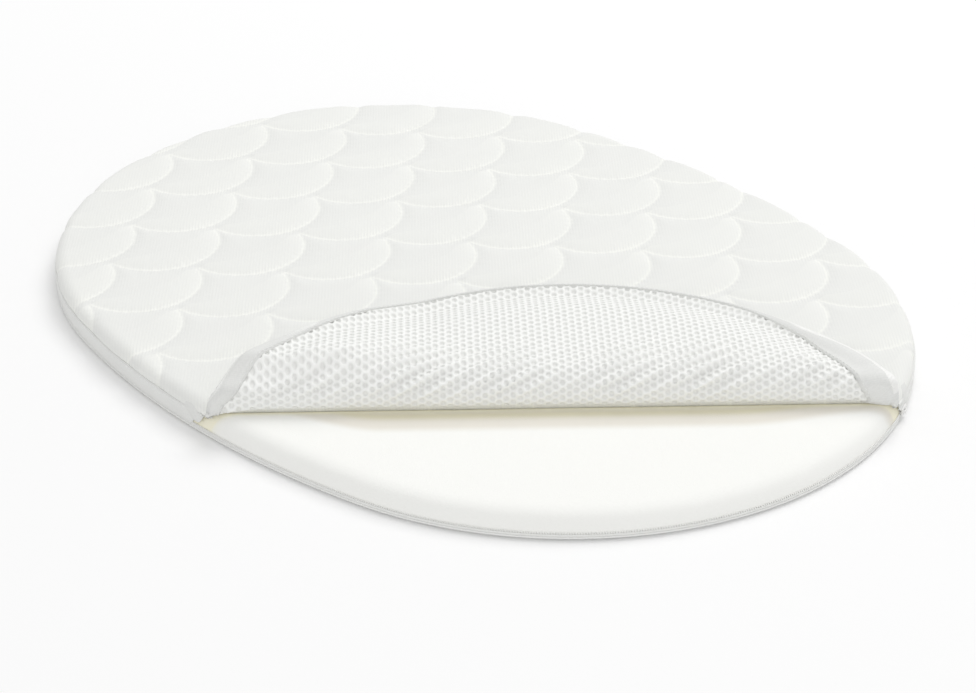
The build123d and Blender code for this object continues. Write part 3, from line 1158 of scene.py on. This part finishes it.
makeBorder()
borderStitches(("seamStitchesRoll", "seamStitchesFlap"))
makeZipEdge(-1, ("leftZipEdgeRoll", "leftZipEdgeFlap"), "tapeWeave", "zip_tape", -14.0)
makeZipEdge(1, ("rightZipEdgeRoll", "rightZipEdgeFlap"), "coilNylon", "zip_coil", -13.0)
print("facing made")

# Foam core: soft upper edge, shown at the front
foam = {
    "columns": 120,
    "rows": 92,
    "topInset": 16.0,
    "side": (
        (13.5, 0.35),  # insets, and drops below the top
        (11.0, 1.0),
        (8.6, 2.0),
        (6.6, 3.4),
        (5.2, 5.0),
        (4.0, 7.0),
        (3.0, 9.0),
        (2.2, 11.0),
        (1.6, 13.0),
        (1.25, 14.5),
        (1.25, 18.0),
        (3.2, 19.7),
    ),
    "wave": 0.12,
    "wobble": 0.2,
    "wobbleDrop": 12.0,  # the wobble ends this far down
    "fill": 0.95,
}


def makeFoamCore():
    flat, faces, rim = ovalGrid(foam["columns"], foam["rows"], foam["topInset"])
    wave = foam["wave"] * np.sin(flat[:, 0] / 37.0 + 1) * np.sin(flat[:, 1] / 29.0) - foam["wave"]
    points = [np.c_[flat, foamTop + wave]]
    edge = flat[rim]
    normal = edgeOf(edge)[0]
    walk = np.cumsum(np.r_[0, np.hypot(*np.diff(edge, axis=0).T)])
    for inset, drop in foam["side"]:
        wobble = foam["wobble"] * np.sin(walk / 9.0) * np.sin(walk / 31.0)
        wobble = wobble * min(drop / 4, 1) * (drop < foam["wobbleDrop"])
        xy = edge + normal * (foam["topInset"] - inset + wobble)[:, None]
        points.append(np.c_[xy, np.full(len(edge), foamTop - drop)])
    points = np.concatenate(points)
    faces += skirtFaces(rim, len(flat), len(foam["side"]))
    piece = outwardFaces(meshPiece("foamCore", points, faces, "foamCells", {"cloth": points}))
    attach(piece, "mattress")
    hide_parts("foam_core")


makeFoamCore()
print("foam made")

# Bottom cloth, with its edge turned up to the zip
base = {
    "stations": 900,
    "section": (
        (6.0, 0.0),  # insets and heights: under the edge, up the rim, over it and down inside
        (5.2, 0.0),
        (4.4, 1.5),
        (0.7, 1.7),
        (0.2, 1.9),
        (0.0, 2.3),
        (0.0, 2.8),
        (0.15, baseRim),
        (0.9, baseRim),
        (1.1, baseRim - 0.5),
        (1.1, 2.1),
        (6.0, 1.8),
    ),
}


def makeBase():
    walked = np.arange(base["stations"]) * wholeRun / base["stations"]
    insets, heights = np.transpose(base["section"])
    points = sweptPoints(walked, insets, heights)
    ring = len(insets)
    faces = [face for face in sweptFaces(len(walked), ring, True) if face[0] % ring != ring - 1]
    faces.append(tuple(range(0, len(points), ring)))
    faces.append(tuple(range(len(points) - 1, -1, -ring)))
    place = clothPlace(walked, heights)
    piece = outwardFaces(meshPiece("baseSheet", points, faces, "baseWeave", {"cloth": place}))
    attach(piece, "mattress")
    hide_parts("base_sheet")


makeBase()
print("base made")

# Zip: tapes, and coils as rows of small rounded teeth
zipper = {
    "tapeInsets": (0.4, 0.4, 1.0, 1.0),
    "tapeStep": 3.0,
    "pitch": 1.9,
    "tooth": 1.25,
    "depth": 0.7,
    "sides": 6,
    "stop": 3.2,  # length that the stops take at the ends
    "behindBand": 1.3,  # how far in the left coil lies
    "longer": 0.7,  # how far the open teeth hang below their coil
    "flapEnd": 12.0,  # how far the flap's coil stops short of its band
}

# Side band: plain cloth between the quilted top and the base, above the zip at the front
band = {
    "step": 1.3,
    "flapStations": 280,
    "taper": 10.0,
    "runOut": 8.0,
    "runOutTop": 1.0,
    "zipEase": 8.0,
    "section": (
        (0.35, 0.0),  # insets and shares of the height: up the outside, then the inside
        (0.1, 0.1),
        (-0.15, 0.35),
        (-0.15, 0.65),
        (0.1, 0.9),
        (0.35, 1.0),
        (1.2, 1.0),
        (1.2, 0.0),
    ),
}

# Where the zip, the fixed upper half of the zip, the fixed band and the turned band end
zipEnds = crossings(coverFold - 60.0)
foldEnds = crossings(coverFold - 11.0)
bandEnds = crossings(coverFold - 3.4)
flapEdges = crossings(flapFold - 2.0)


def bandSection(low, high):
    insets, share = np.transpose(band["section"])
    return insets, low[:, None] + (high - low)[:, None] * share[None, :]


def makeSideBand():
    start, end = bandEnds[1], bandEnds[0] + wholeRun
    walked = np.linspace(start, end, int((end - start) / band["step"]))
    zipTop = upperTape[1]
    low = zipTop + (baseRim - zipTop) * smooth((walked - zipEnds[1]) / band["zipEase"])
    spare = band["runOut"] / 2
    short = np.maximum(foldEnds[1] + spare - walked, walked - foldEnds[0] - wholeRun + spare)
    low = low + (bandTop - band["runOutTop"] - low) * np.clip(short / band["runOut"], 0, 1)
    insets, heights = bandSection(low, np.full(len(walked), bandTop))
    points = sweptPoints(walked, insets, heights)
    faces = sweptFaces(len(walked), len(insets), False)
    place = clothPlace(walked, heights)
    piece = outwardFaces(meshPiece("sideBand", points, faces, "bandWeave", {"cloth": place}))
    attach(piece, "mattress")
    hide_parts("side_band")
    spots = np.arange(start + thread["bandEnd"], end - thread["bandEnd"], thread["pitch"])
    inset, level = thread["bandInset"], bandTop - thread["bandDrop"]
    ends = [sweptPoints(spots + half * thread["length"], inset, level) for half in (-0.5, 0.5)]
    points, faces = threadMesh(*ends)
    piece = outwardFaces(meshPiece("bandStitches", points, faces, "sewingThread"))
    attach(piece, "mattress")


# The turned band runs out to nothing at both ends of the fold
def tapered(walked, heights):
    share = smooth(np.minimum(walked - flapEdges[0], flapEdges[1] - walked) / band["taper"] + 0.02)
    return bandTop - (bandTop - heights) * share + bandTravel


def turnedBand(points):
    u, v, z = rolled(points, np.ones(len(points)))
    return fromFold(u, v, z + standOff(u, v, flapStand["lift"]))


def flapSweep(name, node, insets, heights, finish):
    walked = np.linspace(*flapEdges, band["flapStations"])
    points = sweptPoints(walked, insets, tapered(walked[:, None], np.asarray(heights)[None, :]))
    faces = sweptFaces(len(walked), len(insets), False)
    place = clothPlace(walked, heights)
    piece = meshPiece(name, turnedBand(points), faces, finish, {"cloth": place})
    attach(outwardFaces(piece), "flap_band")
    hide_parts(node)


def makeFlapBand():
    low, high = upperTape
    insets, heights = bandSection(np.array([high]), np.array([bandTop]))
    flapSweep("flapSideBand", "flap_side_band", insets, heights[0], "bandWeave")
    heights = (low, high, high, low)
    flapSweep("flapZipTape", "flap_zip_tape", zipper["tapeInsets"], heights, "tapeWeave")


makeSideBand()
makeFlapBand()
print("bands made")


def makeTape(name, start, end, low, high):
    walked = np.linspace(start, end, max(8, int((end - start) / zipper["tapeStep"])))
    heights = (low, high, high, low)
    points = sweptPoints(walked, zipper["tapeInsets"], heights)
    faces = sweptFaces(len(walked), len(heights), False)
    place = clothPlace(walked, heights)
    return outwardFaces(meshPiece(name, points, faces, "tapeWeave", {"cloth": place}))


def toothRow(start, end, low, high, inset=0.0, shape=None):
    walked = np.arange(start + zipper["pitch"] / 2, end, zipper["pitch"])
    half, depth, sides = zipper["tooth"] / 2, zipper["depth"], zipper["sides"]
    points, faces = [], []
    for spot in walked:
        first = len(points)
        for height, shrink in ((low, 0.7), (low + 0.3, 1.0), (high - 0.3, 1.0), (high, 0.7)):
            for k in range(sides):
                turn = 2 * math.pi * k / sides
                across = inset + depth + depth * shrink * math.sin(turn)
                points.append((spot + half * shrink * math.cos(turn), across, height))
        for level in range(3):
            under, over = first + level * sides, first + (level + 1) * sides
            for k in range(sides):
                n = (k + 1) % sides
                faces.append((under + k, under + n, over + n, over + k))
        faces.append(tuple(range(first, first + sides))[::-1])
        faces.append(tuple(range(first + 3 * sides, first + 4 * sides)))
    points = np.array(points)
    edge, normal = edgeAt(points[:, 0])
    heights = shape(points[:, 0], points[:, 2]) if shape else points[:, 2]
    return np.c_[edge - points[:, 1:2] * normal, heights], faces


def makeZip():
    left, right = zipEnds
    for name, node, start, end, heights in (
        ("lowerZipTape", "lower_zip_tape", left, right, lowerTape),
        ("leftZipTape", "left_zip_tape", left, foldEnds[0], upperTape),
        ("rightZipTape", "right_zip_tape", foldEnds[1], right, upperTape),
    ):
        piece = makeTape(name, start, end, *heights)
        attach(piece, "mattress")
        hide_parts(node)
    openTeeth = (upperCoil[0] - zipper["longer"], upperCoil[1])
    leftNodes = ("left_zip_coil", "left_zip_stop")
    left, right = left + zipper["stop"], right - zipper["stop"]
    for name, nodes, start, end, heights, inset in (
        ("lowerZipCoil", ("lower_zip_coil",), left, right, lowerCoil, 0.0),
        ("leftZipCoil", leftNodes, left, foldEnds[0], upperCoil, zipper["behindBand"]),
        ("rightZipCoil", ("right_zip_coil",), foldEnds[1], right, openTeeth, 0.0),
    ):
        points, faces = toothRow(start, end, *heights, inset)
        piece = meshPiece(name, points, faces, "coilNylon")
        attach(piece, "mattress")
        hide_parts(*nodes)
    start, end = flapEdges[0] + zipper["flapEnd"], flapEdges[1] - zipper["flapEnd"]
    points, faces = toothRow(start, end, *openTeeth, shape=tapered)
    piece = meshPiece("flapZipCoil", turnedBand(points), faces, "coilNylon")
    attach(outwardFaces(piece), "flap_band")
    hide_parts("flap_zip_coil")


makeZip()
(wholeRun + bandEnds[0] - bandEnds[1]) * mm
(flapEdges[1] - flapEdges[0] - band["taper"]) * mm
for node, finish in (("right_zip_stop", "coilNylon"), ("zip_slider", "slideEnamel")):
    frame["nodes"][node].data.materials.clear()
    frame["nodes"][node].data.materials.append(finishes[finish])
print("zip made")

# Studio: pale floor, even sky, two soft lamps, and the camera where the picture was taken
studio = {
    "camera": (1.33835, -1.23195, 0.96753),
    "looksAlong": (-0.6392, 0.5972, -0.4845),
    "lens": 92.99,
    "sensor": 36.0,
    "sky": (0.67, 0.67, 0.67, 1),
    "lampPlace": (-0.7, 3.3, 5.2),
    "lampSize": 4.0,
    "lampPower": 154.0,
    "fillPlace": (3.0, -2.8, 1.9),
    "fillSize": 3.0,
    "fillPower": 20.0,
    "floorSize": 30.0,
    "floorTone": (0.92, 0.92, 0.92, 1),
    "floorLift": (0.06, 0.06, 0.06, 1),
}


def makeCamera():
    camera = bpy.data.objects.new("camera", bpy.data.cameras.new("camera"))
    scene.collection.objects.link(camera)
    camera.data.sensor_fit = "HORIZONTAL"
    camera.data.sensor_width = studio["sensor"]
    camera.data.lens = studio["lens"]
    camera.location = studio["camera"]
    camera.rotation_euler = Vector(studio["looksAlong"]).to_track_quat("-Z", "Y").to_euler()
    scene.camera = camera


def makeLamp(name):
    lamp = bpy.data.objects.new(name, bpy.data.lights.new(name, "AREA"))
    scene.collection.objects.link(lamp)
    lamp.data.energy = studio[name + "Power"]
    lamp.data.size = studio[name + "Size"]
    lamp.location = studio[name + "Place"]
    lamp.rotation_euler = (-Vector(studio[name + "Place"])).to_track_quat("-Z", "Y").to_euler()


# One colour for the light on the object, another where the background is seen
def backdrop(start, lit, seen):
    camera, glossy, through = (
        start.node("ShaderNodeLightPath", out=ray)
        for ray in ("Is Camera Ray", "Is Glossy Ray", "Is Transmission Ray")
    )
    return blendColour(start, camera + glossy + through, lit, seen)


def makeFloor():
    half = studio["floorSize"] / 2
    corners = [(-half, -half, 0), (half, -half, 0), (half, half, 0), (-half, half, 0)]
    mesh = bpy.data.meshes.new("floor")
    mesh.from_pydata(corners, [], [(0, 1, 2, 3)])
    floor = bpy.data.objects.new("floor", mesh)
    scene.collection.objects.link(floor)
    material = bpy.data.materials.new("studioFloor")
    material.use_nodes = True
    shader = material.node_tree.nodes["Principled BSDF"]
    shader.inputs["Base Color"].default_value = studio["floorTone"]
    shader.inputs["Roughness"].default_value = 1.0
    shader.inputs["Specular IOR Level"].default_value = 0.0
    shader.inputs["Emission Strength"].default_value = 1.0
    start = Wire(material.node_tree, shader.outputs[0])
    feed(backdrop(start, (0, 0, 0, 1), studio["floorLift"]), shader, "Emission Color")
    mesh.materials.append(material)


def makeSky():
    world = bpy.data.worlds.new("sky")
    scene.world = world
    world.use_nodes = True
    ground = world.node_tree.nodes["Background"]
    start = Wire(world.node_tree, ground.outputs[0])
    feed(backdrop(start, studio["sky"], (1, 1, 1, 1)), ground, "Color")


makeCamera()
makeLamp("lamp")
makeLamp("fill")
makeFloor()
makeSky()
print("studio made")
